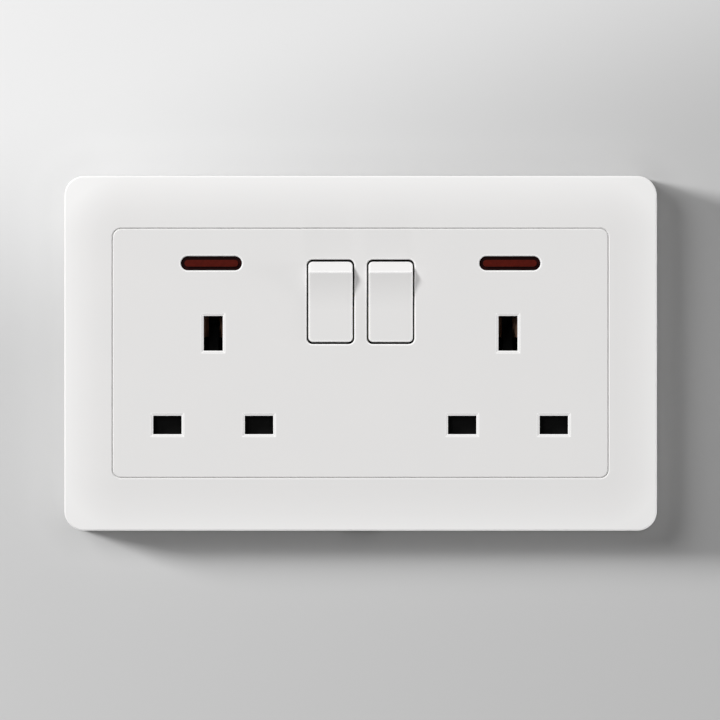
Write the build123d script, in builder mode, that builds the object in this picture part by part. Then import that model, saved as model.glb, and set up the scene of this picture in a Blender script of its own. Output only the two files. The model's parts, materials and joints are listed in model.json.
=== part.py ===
from build123d import *
import os
from math import atan2, cos, degrees, hypot, pi, radians, sin, sqrt

os.makedirs("parts", exist_ok=True)

# Double switched wall socket, in millimetres. X runs to the right, Z up, the front faces -Y.
# The wall is the plane y = 0. A height is measured from the wall towards the front: it lies at y = -height.
sides = {"left": -1, "right": 1}

# outlets: pin places and slots
outlet_offset = 35.75
earth_z = 4.85
pin_pitch = 22.23
line_slot_width = 6.9
line_slot_height = 4.5
earth_slot_width = 4.65
earth_slot_height = 8.45
slot_chamfer = 0.62
slot_chamfer_depth = 0.22
line_pin_width = 6.35
earth_pin_length = 22.7

# surround
plate_corner = 4.8
plate_wall = 2.0
crown_radius = 130.0
edge_bevel = 0.3
wall_gap = 0.3
hook_room = 3.0
hook_width = 6.0
hook_thickness = 1.2
hook_barb = 0.7
hook_lead = 0.2
hook_gap = 0.15
hook_lift = 0.5
long_hook_x = 42.0
short_hook_z = 20.0
prise_width = 9.0
prise_height = 1.4

# centre panel
face_height = 9.5
panel_side_margin = 6.1
panel_end_margin = 2.2
panel_corner = 2.0
panel_gap = 0.04
panel_thickness = 2.0
panel_edge = 0.28
skirt_wall = 1.6
lower_hook_x = 12.0
upper_hook_x = 20.0
panel_hook_reach = 1.2
panel_hook_clear = 0.8
hook_slot_gap = 0.25

# rockers
rocker_offset = 7.29
rocker_z = 12.49
window_width = 11.5
window_height = 20.5
window_corner = 1.4
window_edge = 0.2
rocker_side_gap = 0.38
rocker_end_gap = 0.5
rocker_corner = 1.1
rocker_edge = 0.22
rocker_wall = 1.4
rocker_depth = 2.2
rocker_flush = 0.35
rocker_rise = 1.75
rise_start_z = -1.8
ridge_to_end = 2.6
rocker_end_slope = 0.4
pivot_depth = 3.4
rocker_throw = 14.0
trunnion_radius = 1.25
trunnion_end_gap = 0.42
trunnion_root = 0.4
running_gap = 0.05
bearing_side_gap = 0.12
bearing_width = 6.4
bearing_wall = 2.2
bay_end_gap = 0.3

# switch mechanism
leg_width = 5.0
leg_length = 7.6
plunger_radius = 1.5
plunger_gap = 0.05
plunger_reach = 10.3
plunger_length = 5.6
plunger_nose = 0.7
nose_gap = 0.25
bore_end = 0.4
arm_width = 4.4
arm_thickness = 0.9
arm_half_length = 8.6
arm_swing = 16.0
fulcrum_radius = 0.5
fulcrum_gap = 0.06
tip_radius = 1.5
tip_thickness = 0.8
tip_arm = 7.0
tip_gap = 0.08
pad_margin = 0.5

# indicators
neon_offset = 36.2
neon_z = 21.84
neon_slot_width = 14.85
neon_slot_height = 3.45
lens_gap = 0.08
lens_rim = 0.9
lens_recess = 1.1
lens_bar_drop = 0.1
lens_flange = 1.0
lens_flange_thickness = 0.7
lamp_radius = 1.5
lamp_gap = 0.4
lamp_length = 10.0
resistor_radius = 1.2
resistor_length = 7.0
resistor_drop = 5.0
cradle_wall = 0.8
cradle_inset = 1.4
cradle_width = 1.2
cradle_floor = 0.5
seat_gap = 0.1

# yoke
fixing_clear = 6.3
fixing_edge = 6.6
fixing_hole = 2.2
head_clear = 0.8
flange_height = 10.05
yoke_thickness = 2.5
yoke_corner = 3.0
rebate_width = 2.0
rebate_depth = 1.2
dome_wall = 1.5
dome_gap = 0.1
dome_head_room = 2.15
dome_side_room = 1.25
dome_slot_clear = 0.25
guide_gap = 0.12
rail_cover = 0.8
rail_thickness = 1.2
rail_lead = 0.8
spigot_depth = 3.0

# shutters
shutter_thickness = 1.6
shutter_cover = 0.8
shutter_end_cover = 0.335
shutter_side_gap = 0.6
shutter_end_gap = 0.47
shutter_travel = 5.6
stile_inner = 2.0
stile_outer = 3.6
ramp_half = 1.15
ramp_back = 0.3
ramp_foot = 1.6
ramp_lip = 1.8
ramp_tail = 2.6
ramp_over = 0.2
post_height = 1.6
post_side_gap = 0.3
coil_radius = 1.25
coil_wire = 0.5
coil_seat = 0.1
coil_chords = 8
shutter_turns = 4
plunger_turns = 3

# base
base_wall = 2.0
base_corner = 4.0
base_rim = 0.7
pin_tip_room = 0.6
floor_thickness = 1.8
tongue_wall = 1.2
tongue_gap = 0.1
tongue_front = 0.4
tongue_depth = 6.0
band_depth = 3.4
tower_wall = 1.1
tower_top = -2.0
tower_side_gap = 0.2
tower_end_room = 2.5
rib_wall = 1.4
rib_drop = 0.6
inner_rib_x = 28.0
outer_rib_x = 41.0

# conductors
strip_thickness = 0.8
strip_width = 4.0
earth_strip_width = 3.0
strip_gap = 0.2
strip_wall_gap = 0.1
strip_insulation = 1.5
strip_end = 3.0
leaf_thickness = 0.7
leaf_root = 0.2
leaf_pinch = 0.15
leaf_gap = 3.5
leaf_top = -0.8
leaf_pinch_depth = 2.4
leaf_flare = 0.9
leaf_side_gap = 0.2
earth_leaf_gap = 2.9
earth_leaf_top = 0.2
earth_leaf_pinch_depth = 3.2
earth_leaf_flare = 0.72
earth_leaf_low = 0.95
earth_leaf_high = 3.9
earth_limb_width = 3.1
cross_z = -8.0
riser_x = 17.0

# terminals
line_terminal_x = 10.0
neutral_terminal_x = -10.0
earth_terminal_x = 14.0
terminal_width = 7.4
terminal_length = 10.0
terminal_depth = 6.0
terminal_fit = 0.1
wire_bore = 2.1
wire_entry_gap = 0.6
bore_rise = 0.2
tab_side = 2.8
tab_inset = 0.2
terminal_screw_radius = 1.6
terminal_screw_depth = 0.7
terminal_screw_out = 1.2
drive_slot = 0.8
drive_depth = 0.7

# screws
screw_radius = 1.25
screw_head_radius = 2.4
screw_head_height = 1.7
screw_gap = 0.05
screw_hole_gap = 0.15
pilot_cover = 0.5
pilot_end = 0.5
boss_side = 7.4
boss_gap = 0.3
boss_inset_x = 6.2
boss_inset_z = 8.0
boss_low_z = -7.0
fixing_radius = 1.75
fixing_neck = 1.55
fixing_head_radius = 3.4
fixing_head_height = 2.0
fixing_length = 22.0

# heights that follow
panel_back = face_height - panel_thickness
dome_front = panel_back - dome_gap
dome_inner = dome_front - dome_wall
shutter_front = dome_inner - guide_gap
shutter_back = shutter_front - shutter_thickness
guide_front = shutter_back - guide_gap
floor_top = face_height - earth_pin_length - pin_tip_room
floor_back = floor_top - floor_thickness
strip_top = floor_top + strip_thickness
terminal_back = floor_back - terminal_depth
base_back = terminal_back - terminal_screw_out - base_rim
pivot_height = face_height - pivot_depth
fulcrum_height = pivot_height - plunger_reach - arm_thickness - nose_gap
lens_back = panel_back - lens_flange_thickness
lamp_height = lens_back - lamp_gap - lamp_radius
resistor_height = yoke_thickness + cradle_floor + seat_gap + resistor_radius

# the switch: half of each swing, and the place of the contact tips
half_throw = radians(rocker_throw / 2)
half_swing = radians(arm_swing / 2)
tip_z = rocker_z + tip_arm * cos(half_swing) - tip_thickness * sin(half_swing)
tip_drop = (tip_arm + tip_radius) * sin(half_swing) + tip_thickness * cos(half_swing)
fixed_face = fulcrum_height - tip_drop - tip_gap
pad_front = fixed_face - tip_thickness
rocker_width = window_width - 2 * rocker_side_gap
rocker_half = window_height / 2 - rocker_end_gap
bearing_in = rocker_offset - rocker_width / 2 - bearing_side_gap
bearing_out = rocker_offset + rocker_width / 2 + bearing_side_gap
trunnion_length = rocker_offset - rocker_width / 2 - trunnion_end_gap

# from the pins outwards: shutters, domes, base, fixing screws, yoke, panel, surround
line_z = earth_z - pin_pitch
bar_half = pin_pitch / 2 + line_slot_width / 2 + shutter_end_cover
bar_low = line_z - line_slot_height / 2 - shutter_cover
bar_high = line_z + line_slot_height / 2 + shutter_cover
earth_low = earth_z - earth_slot_height / 2
ramp_low = earth_low - ramp_foot
ramp_high = earth_low + shutter_travel + ramp_over
post_low = bar_high + guide_gap
dome_half_width = bar_half + shutter_side_gap + dome_wall
dome_top_z = earth_z + earth_slot_height / 2 + dome_head_room
dome_bottom_z = bar_low - shutter_travel - shutter_end_gap - dome_wall
dome_mid = (dome_top_z + dome_bottom_z) / 2
dome_tall = dome_top_z - dome_bottom_z
switch_top = tip_z + strip_width / 2 + strip_insulation + earth_strip_width + strip_wall_gap + base_wall
base_width = 2 * (outlet_offset + dome_half_width + dome_side_room)
base_height = 2 * max(-dome_bottom_z, switch_top)
fixing_x = base_width / 2 + fixing_clear
yoke_width = 2 * (fixing_x + fixing_edge)
yoke_height = base_height + 2 * flange_height
panel_width = base_width + 2 * panel_side_margin
panel_height = base_height + 2 * panel_end_margin
window_w = panel_width + 2 * panel_gap
window_h = panel_height + 2 * panel_gap
window_round = panel_corner + panel_gap
plate_width = yoke_width + 2 * (hook_room + plate_wall)
plate_height = yoke_height + 2 * (hook_room + plate_wall)
border_side = (plate_width - window_w) / 2
border_end = (plate_height - window_h) / 2
border_reach = hypot(border_side, border_end) + plate_corner

# hooks, screws and conductors inside that outline
inner_z = base_height / 2 - base_wall
panel_hook_z = inner_z - tongue_gap - tongue_wall - hook_thickness / 2 - hook_barb - panel_hook_clear
panel_hooks = [(way * lower_hook_x, -panel_hook_z, -1) for way in (-1, 1)]
panel_hooks += [(way * upper_hook_x, panel_hook_z, 1) for way in (-1, 1)]
boss_low_x = riser_x - strip_width / 2 - boss_side / 2 - boss_gap
boss_places = [(way * (base_width / 2 - boss_inset_x), base_height / 2 - boss_inset_z) for way in (-1, 1)]
boss_places += [(way * boss_low_x, boss_low_z) for way in (-1, 1)]
fixing_places = [(-fixing_x, 0), (fixing_x, 0)]
neutral_run_z = strip_wall_gap + strip_width / 2 - inner_z
earth_run_z = inner_z - strip_wall_gap - earth_strip_width / 2
feed_z = terminal_length - inner_z - tab_side / 2 - tab_inset
terminal_places = {
    "line_terminal": [(line_terminal_x, -1, feed_z)],
    "neutral_terminal": [(neutral_terminal_x, -1, neutral_run_z)],
    "earth_terminals": [(-earth_terminal_x, 1, earth_run_z), (earth_terminal_x, 1, earth_run_z)],
}
all_terminals = [place for group in terminal_places.values() for place in group]


def front_plane(height):
    return Plane.XZ.offset(height)


def save(part, name):
    part.label = name
    export_step(part, f"parts/{name}.step")


def outlet_pins(side):
    """Neutral, line and earth pin places of one outlet, as (x, z)."""
    x = outlet_offset * side
    half = pin_pitch / 2
    return (x - half, line_z), (x + half, line_z), (x, earth_z)


def terminal_centre(way):
    return way * (inner_z - terminal_length / 2)


def crown(out):
    """Height of the border's front at a distance outside the window, a ball's arc around each corner."""
    top = sqrt(crown_radius**2 - window_round**2)
    return face_height - top + sqrt(crown_radius**2 - (out + window_round) ** 2)


def border_outline():
    """Section of the border as (distance outside the window, height), drawn in the current line builder."""
    middle = border_reach / 2
    ThreePointArc((0, face_height), (middle, crown(middle)), (border_reach, crown(border_reach)))
    Polyline((border_reach, crown(border_reach)), (border_reach, wall_gap), (0, wall_gap), (0, face_height))


def frame_hook(edge):
    """Snap hook as (y, distance): a post beside the yoke's edge and a barb under its flange."""
    near = edge + hook_gap
    far = near + hook_thickness
    barb = near - hook_barb
    lift = rebate_depth - hook_gap
    root = roof_height + plate_wall / 2
    return [(-root, near), (-root, far), (-hook_lift, far), (-hook_lift, near),
            (-hook_lift - hook_lead, barb), (-lift, barb), (-lift, near)]


pin_places = [outlet_pins(s) for s in sides.values()]
rocker_places = [(rocker_offset * s, rocker_z) for s in sides.values()]
neon_places = [(neon_offset * s, neon_z) for s in sides.values()]
roof_height = crown(max(border_side, border_end)) - plate_wall
head_room = 2 * (fixing_head_radius + head_clear)
head_top = yoke_thickness + fixing_head_height

# surround: straight borders and turned corners, trimmed to the plate, hollow behind, with snap hooks
with BuildPart() as outer_frame:
    for way in (-1, 1):
        with BuildSketch(Plane(origin=(way * window_w / 2, 0, 0), x_dir=(way, 0, 0), z_dir=(0, 0, -way))):
            with BuildLine():
                border_outline()
            make_face()
        extrude(amount=window_h / 2 - window_round, both=True)
        with BuildSketch(Plane(origin=(0, 0, way * window_h / 2), x_dir=(0, 0, way), z_dir=(way, 0, 0))):
            with BuildLine():
                border_outline()
            make_face()
        extrude(amount=window_w / 2 - window_round, both=True)
        for up in (-1, 1):
            corner_x = way * (window_w / 2 - window_round)
            corner_z = up * (window_h / 2 - window_round)
            start = (way * window_w / 2, 0, corner_z)
            with BuildSketch(Plane(origin=start, x_dir=(way, 0, 0), z_dir=(0, 0, -way))):
                with BuildLine():
                    border_outline()
                make_face()
            revolve(axis=Axis((corner_x, 0, corner_z), (0, -way * up, 0)), revolution_arc=90)
    with BuildSketch(front_plane(wall_gap)):
        RectangleRounded(plate_width, plate_height, plate_corner)
    extrude(amount=face_height, mode=Mode.INTERSECT)
    outside = [f for f in outer_frame.faces() if abs(f.normal_at().Y) < 0.01 and (
        abs(f.center().X) > window_w / 2 + plate_wall or abs(f.center().Z) > window_h / 2 + plate_wall)]
    rim = [f.edges().sort_by(Axis.Y)[0] for f in outside]
    chamfer(rim, edge_bevel)
    mouth = [e for e in outer_frame.edges() if e.center().Y < -face_height + panel_gap
             and abs(e.center().X) < window_w / 2 + panel_gap and abs(e.center().Z) < window_h / 2 + panel_gap]
    chamfer(mouth, panel_edge)
    hollow_width = plate_width - 2 * plate_wall
    hollow_height = plate_height - 2 * plate_wall
    with BuildSketch(front_plane(0)):
        RectangleRounded(hollow_width, hollow_height, plate_corner - plate_wall)
        Rectangle(window_w + 2 * skirt_wall, window_h + 2 * skirt_wall, mode=Mode.SUBTRACT)
    extrude(amount=roof_height, mode=Mode.SUBTRACT)
    # the window wall stops above the yoke and clears the fixing screws
    with BuildSketch(front_plane(0)):
        Rectangle(window_w + 2 * skirt_wall, window_h + 2 * skirt_wall)
    extrude(amount=yoke_thickness + hook_gap, mode=Mode.SUBTRACT)
    with BuildSketch(front_plane(0)):
        with Locations(*fixing_places):
            Rectangle(head_room, head_room)
    extrude(amount=head_top + head_clear, mode=Mode.SUBTRACT)
    # snap hooks, three on each long side and two on each short side
    for way in (-1, 1):
        with BuildSketch(*[Plane.YZ.offset(x) for x in (-long_hook_x, 0, long_hook_x)]):
            with BuildLine():
                Polyline(*[(y, way * out) for y, out in frame_hook(yoke_height / 2)], close=True)
            make_face()
        extrude(amount=hook_width / 2, both=True)
        with BuildSketch(*[Plane.XY.offset(z) for z in (-short_hook_z, short_hook_z)]):
            with BuildLine():
                Polyline(*[(way * out, y) for y, out in frame_hook(yoke_width / 2)], close=True)
            make_face()
        extrude(amount=hook_width / 2, both=True)
    # slot for prising the surround off, in the lower edge
    with BuildSketch(Plane.XY.offset(-plate_height / 2)):
        with Locations((0, -wall_gap)):
            Rectangle(prise_width, prise_height)
    extrude(amount=plate_wall, mode=Mode.SUBTRACT)
save(outer_frame.part, "outer_frame")

# centre panel
with BuildPart() as front_panel:
    with BuildSketch(front_plane(face_height)):
        RectangleRounded(panel_width, panel_height, panel_corner)
        with Locations(*rocker_places):
            RectangleRounded(window_width, window_height, window_corner, mode=Mode.SUBTRACT)
        with Locations(*neon_places):
            SlotOverall(neon_slot_width, neon_slot_height, mode=Mode.SUBTRACT)
    extrude(amount=-panel_thickness)
    front = front_panel.faces().sort_by(Axis.Y)[0]
    chamfer(front.outer_wire().edges(), panel_edge)
    front = front_panel.faces().sort_by(Axis.Y)[0]
    chamfer([e for w in front.inner_wires() for e in w.edges()], window_edge)
    # pin slots with a shallow sloped mouth
    slot_taper = degrees(atan2(slot_chamfer, slot_chamfer_depth))
    for neutral, line, earth in pin_places:
        with BuildSketch(front_plane(face_height)):
            with Locations(neutral, line):
                Rectangle(line_slot_width, line_slot_height)
            with Locations(earth):
                Rectangle(earth_slot_width, earth_slot_height)
        extrude(amount=-panel_thickness, mode=Mode.SUBTRACT)
        with BuildSketch(front_plane(face_height)):
            with Locations(neutral, line):
                Rectangle(line_slot_width + 2 * slot_chamfer, line_slot_height + 2 * slot_chamfer)
            with Locations(earth):
                Rectangle(earth_slot_width + 2 * slot_chamfer, earth_slot_height + 2 * slot_chamfer)
        extrude(amount=-slot_chamfer_depth, taper=slot_taper, mode=Mode.SUBTRACT)
    # skirt down to the yoke, clear of the fixing screws
    with BuildSketch(front_plane(panel_back)):
        RectangleRounded(panel_width, panel_height, panel_corner)
        Rectangle(panel_width - 2 * skirt_wall, panel_height - 2 * skirt_wall, mode=Mode.SUBTRACT)
    extrude(amount=yoke_thickness - panel_back)
    with BuildSketch(front_plane(yoke_thickness)):
        with Locations(*fixing_places):
            Rectangle(head_room, head_room)
    extrude(amount=fixing_head_height + head_clear, mode=Mode.SUBTRACT)
    # hooks through the yoke
    for x, z, way in panel_hooks:
        with BuildSketch(Plane.YZ.offset(x)):
            with BuildLine():
                inner = z - way * hook_thickness / 2
                outer = z + way * hook_thickness / 2
                barb = outer + way * hook_barb
                Polyline((-panel_back, inner), (panel_hook_reach, inner), (panel_hook_reach, outer),
                         (hook_gap + hook_lead, barb), (hook_gap, barb), (hook_gap, outer),
                         (-panel_back, outer), close=True)
            make_face()
        extrude(amount=hook_width / 2, both=True)
save(front_panel.part, "front_panel")

# yoke: plate on the wall, raised outlet domes, rocker bearings, spigot for the base
dome_places = [(outlet_offset * s, dome_mid) for s in sides.values()]
with BuildPart() as mounting_yoke:
    with BuildSketch(front_plane(0)):
        RectangleRounded(yoke_width, yoke_height, yoke_corner)
    extrude(amount=yoke_thickness)
    with BuildSketch(front_plane(0)):
        RectangleRounded(yoke_width, yoke_height, yoke_corner)
        Rectangle(yoke_width - 2 * rebate_width, yoke_height - 2 * rebate_width, mode=Mode.SUBTRACT)
    extrude(amount=rebate_depth, mode=Mode.SUBTRACT)
    with BuildSketch(front_plane(0)):
        with Locations(*dome_places):
            Rectangle(2 * dome_half_width, dome_tall)
    extrude(amount=dome_front)
    with BuildSketch(front_plane(0)):
        RectangleRounded(base_width, base_height, base_corner)
        Rectangle(base_width - 2 * base_wall, base_height - 2 * base_wall, mode=Mode.SUBTRACT)
    extrude(amount=-spigot_depth)
    with BuildSketch(front_plane(0)):
        with Locations(*dome_places):
            Rectangle(2 * (dome_half_width - dome_wall), dome_tall - 2 * dome_wall)
    extrude(amount=dome_inner, mode=Mode.SUBTRACT)
    for neutral, line, earth in pin_places:
        # rails behind the ends of the shutter's bar, and the post of its spring
        rail_low = dome_bottom_z + dome_wall
        rail_high = bar_high + rail_lead
        rail_in = bar_half - rail_cover
        rail_out = dome_half_width - dome_wall / 2
        with BuildSketch(front_plane(guide_front)):
            for way in (-1, 1):
                with Locations((earth[0] + way * (rail_in + rail_out) / 2, (rail_low + rail_high) / 2)):
                    Rectangle(rail_out - rail_in, rail_high - rail_low)
        extrude(amount=-rail_thickness)
        with BuildSketch(front_plane(dome_inner)):
            with Locations((earth[0], post_low + post_height / 2)):
                Rectangle(2 * (stile_inner - post_side_gap), post_height)
        extrude(amount=shutter_back - coil_radius - dome_inner)
        # pin slots
        with BuildSketch(front_plane(dome_inner)):
            with Locations(neutral, line):
                Rectangle(line_slot_width + 2 * dome_slot_clear, line_slot_height + 2 * dome_slot_clear)
            with Locations(earth):
                Rectangle(earth_slot_width + 2 * dome_slot_clear, earth_slot_height + 2 * dome_slot_clear)
        extrude(amount=dome_wall, mode=Mode.SUBTRACT)
    # rocker bays and bearings
    with BuildSketch(front_plane(0)):
        with Locations(*rocker_places):
            Rectangle(bearing_out - bearing_in, window_height + 2 * bay_end_gap)
    extrude(amount=yoke_thickness, mode=Mode.SUBTRACT)
    with BuildSketch(front_plane(0)):
        with Locations((0, rocker_z)):
            Rectangle(2 * bearing_in, bearing_width)
        for side in sides.values():
            with Locations((side * (bearing_out + bearing_wall / 2), rocker_z)):
                Rectangle(bearing_wall, bearing_width)
    extrude(amount=dome_front)
    bearing_floor = pivot_height - trunnion_radius - running_gap
    with BuildSketch(Plane.YZ):
        with Locations((-(bearing_floor + dome_front) / 2, rocker_z)):
            Rectangle(dome_front - bearing_floor, 2 * (trunnion_radius + running_gap))
    extrude(amount=bearing_out + bearing_wall, both=True, mode=Mode.SUBTRACT)
    # cradles of the lamps and resistors
    for x, z in neon_places:
        for length, cradle_z, radius, height in (
            (lamp_length, z, lamp_radius, lamp_height),
            (resistor_length, z - resistor_drop, resistor_radius, resistor_height),
        ):
            with BuildSketch(front_plane(yoke_thickness)):
                with Locations(*[(x + way * (length / 2 - cradle_inset), cradle_z) for way in (-1, 1)]):
                    Rectangle(cradle_width, 2 * (radius + seat_gap + cradle_wall))
            extrude(amount=height - yoke_thickness)
            with BuildSketch(front_plane(height)):
                with Locations((x, cradle_z)):
                    Rectangle(length + 2 * seat_gap, 2 * (radius + seat_gap))
            extrude(amount=-radius - seat_gap, mode=Mode.SUBTRACT)
    # slots of the panel's hooks, fixing holes, screw pilots
    with BuildSketch(front_plane(0)):
        for x, z, way in panel_hooks:
            with Locations((x, z + way * hook_barb / 2)):
                Rectangle(hook_width + 2 * hook_slot_gap, hook_thickness + hook_barb + 2 * hook_slot_gap)
        with Locations(*fixing_places):
            Circle(fixing_hole)
    extrude(amount=yoke_thickness, mode=Mode.SUBTRACT)
    with BuildSketch(front_plane(0)):
        with Locations(*boss_places):
            Circle(screw_radius + screw_gap)
    extrude(amount=yoke_thickness - pilot_cover, mode=Mode.SUBTRACT)
save(mounting_yoke.part, "mounting_yoke")


def strip_paths(name):
    """Centre lines of a conductor on the floor of the base, as lists of (x, z)."""
    (left_n, left_l, left_e), (right_n, right_l, right_e) = pin_places
    clip_end = line_z + leaf_gap / 2 + 2 * leaf_thickness
    terminal_end = line_terminal_x + tab_side / 2
    arm_end = rocker_offset + arm_width / 2
    pad_end = rocker_offset - arm_width / 2
    return {
        "neutral_bar": [
            [(left_n[0] - strip_end, neutral_run_z), (right_n[0] + strip_end, neutral_run_z)],
            [(left_n[0], neutral_run_z), (left_n[0], clip_end)],
            [(right_n[0], neutral_run_z), (right_n[0], clip_end)],
        ],
        "earth_bar": [
            [(left_e[0] - strip_end, earth_run_z), (right_e[0] + strip_end, earth_run_z)],
        ],
        "line_bar": [
            [(terminal_end, feed_z), (0, feed_z), (0, rocker_z)],
            [(-arm_end, rocker_z), (arm_end, rocker_z)],
        ],
        "line_contact_left": [
            [(left_l[0], line_z - strip_end), (left_l[0], cross_z), (-riser_x, cross_z), (-riser_x, tip_z),
             (-pad_end, tip_z)],
        ],
        "line_contact_right": [
            [(right_l[0], line_z - strip_end), (right_l[0], cross_z), (riser_x, cross_z), (riser_x, tip_z),
             (pad_end, tip_z)],
        ],
    }[name]


def strips(name, extra):
    """Flat strips of a conductor, widened by a margin all round."""
    width = earth_strip_width if name == "earth_bar" else strip_width
    with BuildSketch(front_plane(floor_top)) as flat:
        for path in strip_paths(name):
            with BuildLine() as run:
                Polyline(*path)
            trace(run.line, line_width=width + 2 * extra)
    return flat.sketch


def line_clip(pin):
    """The two leaves that grip a line or neutral pin, above and below it."""
    middle = leaf_gap / 2 + leaf_thickness / 2
    with BuildPart() as clip:
        for way in (-1, 1):
            with BuildSketch(Plane.YZ.offset(pin[0])):
                with BuildLine() as leaf:
                    Polyline((leaf_root - strip_top, pin[1] + way * middle),
                             (leaf_pinch_depth - leaf_top, pin[1] + way * (middle - leaf_pinch)),
                             (-leaf_top, pin[1] + way * (middle + leaf_flare)))
                trace(leaf.line, line_width=leaf_thickness)
            extrude(amount=line_pin_width / 2 - leaf_side_gap, both=True)
    return clip.part


# base: open to the front for the contacts, terminal pockets open to the rear
pocket_width = terminal_width + 2 * terminal_fit
pocket_length = terminal_length + 2 * terminal_fit
tower_width = line_pin_width + 2 * tower_side_gap
tower_height = leaf_gap + 2 * tower_end_room
tongue_width = base_width - 2 * (base_wall + tongue_gap)
tongue_height = base_height - 2 * (base_wall + tongue_gap)
pockets = [(x, terminal_centre(way)) for x, way, tab_z in all_terminals]
passages = [strips(n, strip_gap) for n in ("neutral_bar", "line_contact_left", "line_contact_right")]
with BuildPart() as rear_base:
    with BuildSketch(front_plane(-spigot_depth)):
        RectangleRounded(base_width, base_height, base_corner)
        Rectangle(base_width - 2 * base_wall, base_height - 2 * base_wall, mode=Mode.SUBTRACT)
    extrude(amount=base_back + spigot_depth)
    with BuildSketch(front_plane(floor_top)):
        Rectangle(base_width - base_wall, base_height - base_wall)
    extrude(amount=-floor_thickness)
    # tongue inside the yoke's spigot, carried on a thicker band of wall
    with BuildSketch(front_plane(-tongue_front)):
        Rectangle(tongue_width, tongue_height)
        Rectangle(tongue_width - 2 * tongue_wall, tongue_height - 2 * tongue_wall, mode=Mode.SUBTRACT)
    extrude(amount=-tongue_depth)
    with BuildSketch(front_plane(-spigot_depth)):
        Rectangle(base_width - base_wall, base_height - base_wall)
        Rectangle(tongue_width - tongue_wall, tongue_height - tongue_wall, mode=Mode.SUBTRACT)
    extrude(amount=-band_depth)
    # screw bosses
    with BuildSketch(front_plane(0)):
        with Locations(*boss_places):
            Rectangle(boss_side, boss_side)
    extrude(amount=floor_top)
    # towers around the line and neutral contacts
    with BuildSketch(front_plane(tower_top)):
        for neutral, line, earth in pin_places:
            with Locations(neutral, line):
                Rectangle(tower_width + 2 * tower_wall, tower_height + 2 * tower_wall)
                Rectangle(tower_width, tower_height, mode=Mode.SUBTRACT)
    extrude(amount=floor_top - tower_top)
    # ribs and terminal pockets behind the floor
    with BuildSketch(front_plane(floor_back)):
        for x in (-outer_rib_x, -inner_rib_x, 0, inner_rib_x, outer_rib_x):
            with Locations((x, 0)):
                Rectangle(rib_wall, base_height - base_wall)
        Rectangle(base_width - base_wall, rib_wall)
        with Locations(*pockets):
            Rectangle(pocket_width + 2 * rib_wall, pocket_length + 2 * rib_wall)
    extrude(amount=base_back - floor_back + rib_drop)
    with BuildSketch(front_plane(floor_back)):
        with Locations(*pockets):
            Rectangle(pocket_width, pocket_length)
        # wire entries through the long walls
        with Locations(*[(x, way * (inner_z + base_wall / 2)) for x, way, tab_z in all_terminals]):
            Rectangle(2 * (wire_bore + wire_entry_gap), 2 * base_wall)
    extrude(amount=base_back - floor_back, mode=Mode.SUBTRACT)
    # tabs of the terminals through the floor
    with BuildSketch(front_plane(floor_top)):
        with Locations(*[(x, tab_z) for x, way, tab_z in all_terminals]):
            Rectangle(tab_side + 2 * terminal_fit, tab_side + 2 * terminal_fit)
    extrude(amount=-floor_thickness, mode=Mode.SUBTRACT)
    # screw holes
    with BuildSketch(front_plane(0)):
        with Locations(*boss_places):
            Circle(screw_radius + screw_hole_gap)
    extrude(amount=floor_back, mode=Mode.SUBTRACT)
    # the strips pass through the foot of the towers
    for passage in passages:
        extrude(passage, amount=strip_thickness + strip_gap, mode=Mode.SUBTRACT)
save(rear_base.part, "rear_base")

# conductors
neutral_flat = strips("neutral_bar", 0)
neutral_clips = [line_clip(neutral) for neutral, line, earth in pin_places]
with BuildPart() as neutral_bar:
    extrude(neutral_flat, amount=strip_thickness)
    add(neutral_clips)
save(neutral_bar.part, "neutral_bar")

earth_flat = strips("earth_bar", 0)
leaf_x = earth_leaf_gap / 2 + leaf_thickness / 2
limb_x = earth_leaf_gap / 2 + earth_limb_width / 2
leaf_low_z = earth_z - earth_leaf_low
leaf_tall = earth_leaf_low + earth_leaf_high
with BuildPart() as earth_bar:
    extrude(earth_flat, amount=strip_thickness)
    for neutral, line, earth in pin_places:
        for way in (-1, 1):
            with BuildSketch(front_plane(floor_top)):
                with Locations((earth[0] + way * limb_x, (leaf_low_z + earth_run_z) / 2)):
                    Rectangle(earth_limb_width, earth_run_z - leaf_low_z)
            extrude(amount=strip_thickness)
            with BuildSketch(Plane.XY.offset(leaf_low_z)):
                with BuildLine() as leaf:
                    x = earth[0] + way * leaf_x
                    Polyline((x, leaf_root - strip_top),
                             (x - way * leaf_pinch, earth_leaf_pinch_depth - earth_leaf_top),
                             (x + way * earth_leaf_flare, -earth_leaf_top))
                trace(leaf.line, line_width=leaf_thickness)
            extrude(amount=leaf_tall)
save(earth_bar.part, "earth_bar")

line_flat = strips("line_bar", 0)
with BuildPart() as line_bar:
    extrude(line_flat, amount=strip_thickness)
    with BuildSketch(*[Plane.YZ.offset(rocker_offset * s) for s in sides.values()]):
        with Locations((-(fulcrum_height + floor_top) / 2, rocker_z)):
            Rectangle(fulcrum_height - floor_top, 2 * fulcrum_radius)
        with Locations((-fulcrum_height, rocker_z)):
            Circle(fulcrum_radius)
    extrude(amount=arm_width / 2, both=True)
save(line_bar.part, "line_bar")

pad_low = tip_z - tip_radius - pad_margin
pad_high = tip_z + tip_radius + pad_margin
for side_name, side in sides.items():
    contact_flat = strips(f"line_contact_{side_name}", 0)
    contact_clip = line_clip(outlet_pins(side)[1])
    with BuildPart() as line_contact:
        extrude(contact_flat, amount=strip_thickness)
        add(contact_clip)
        with BuildSketch(Plane.YZ.offset(rocker_offset * side)):
            with BuildLine():
                pad_back = strip_thickness - pad_front
                web_low = pad_high - strip_thickness
                Polyline((-floor_top, pad_high), (-pad_front, pad_high), (-pad_front, pad_low),
                         (pad_back, pad_low), (pad_back, web_low), (-floor_top, web_low), close=True)
            make_face()
        extrude(amount=arm_width / 2, both=True)
    save(line_contact.part, f"line_contact_{side_name}")

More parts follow.
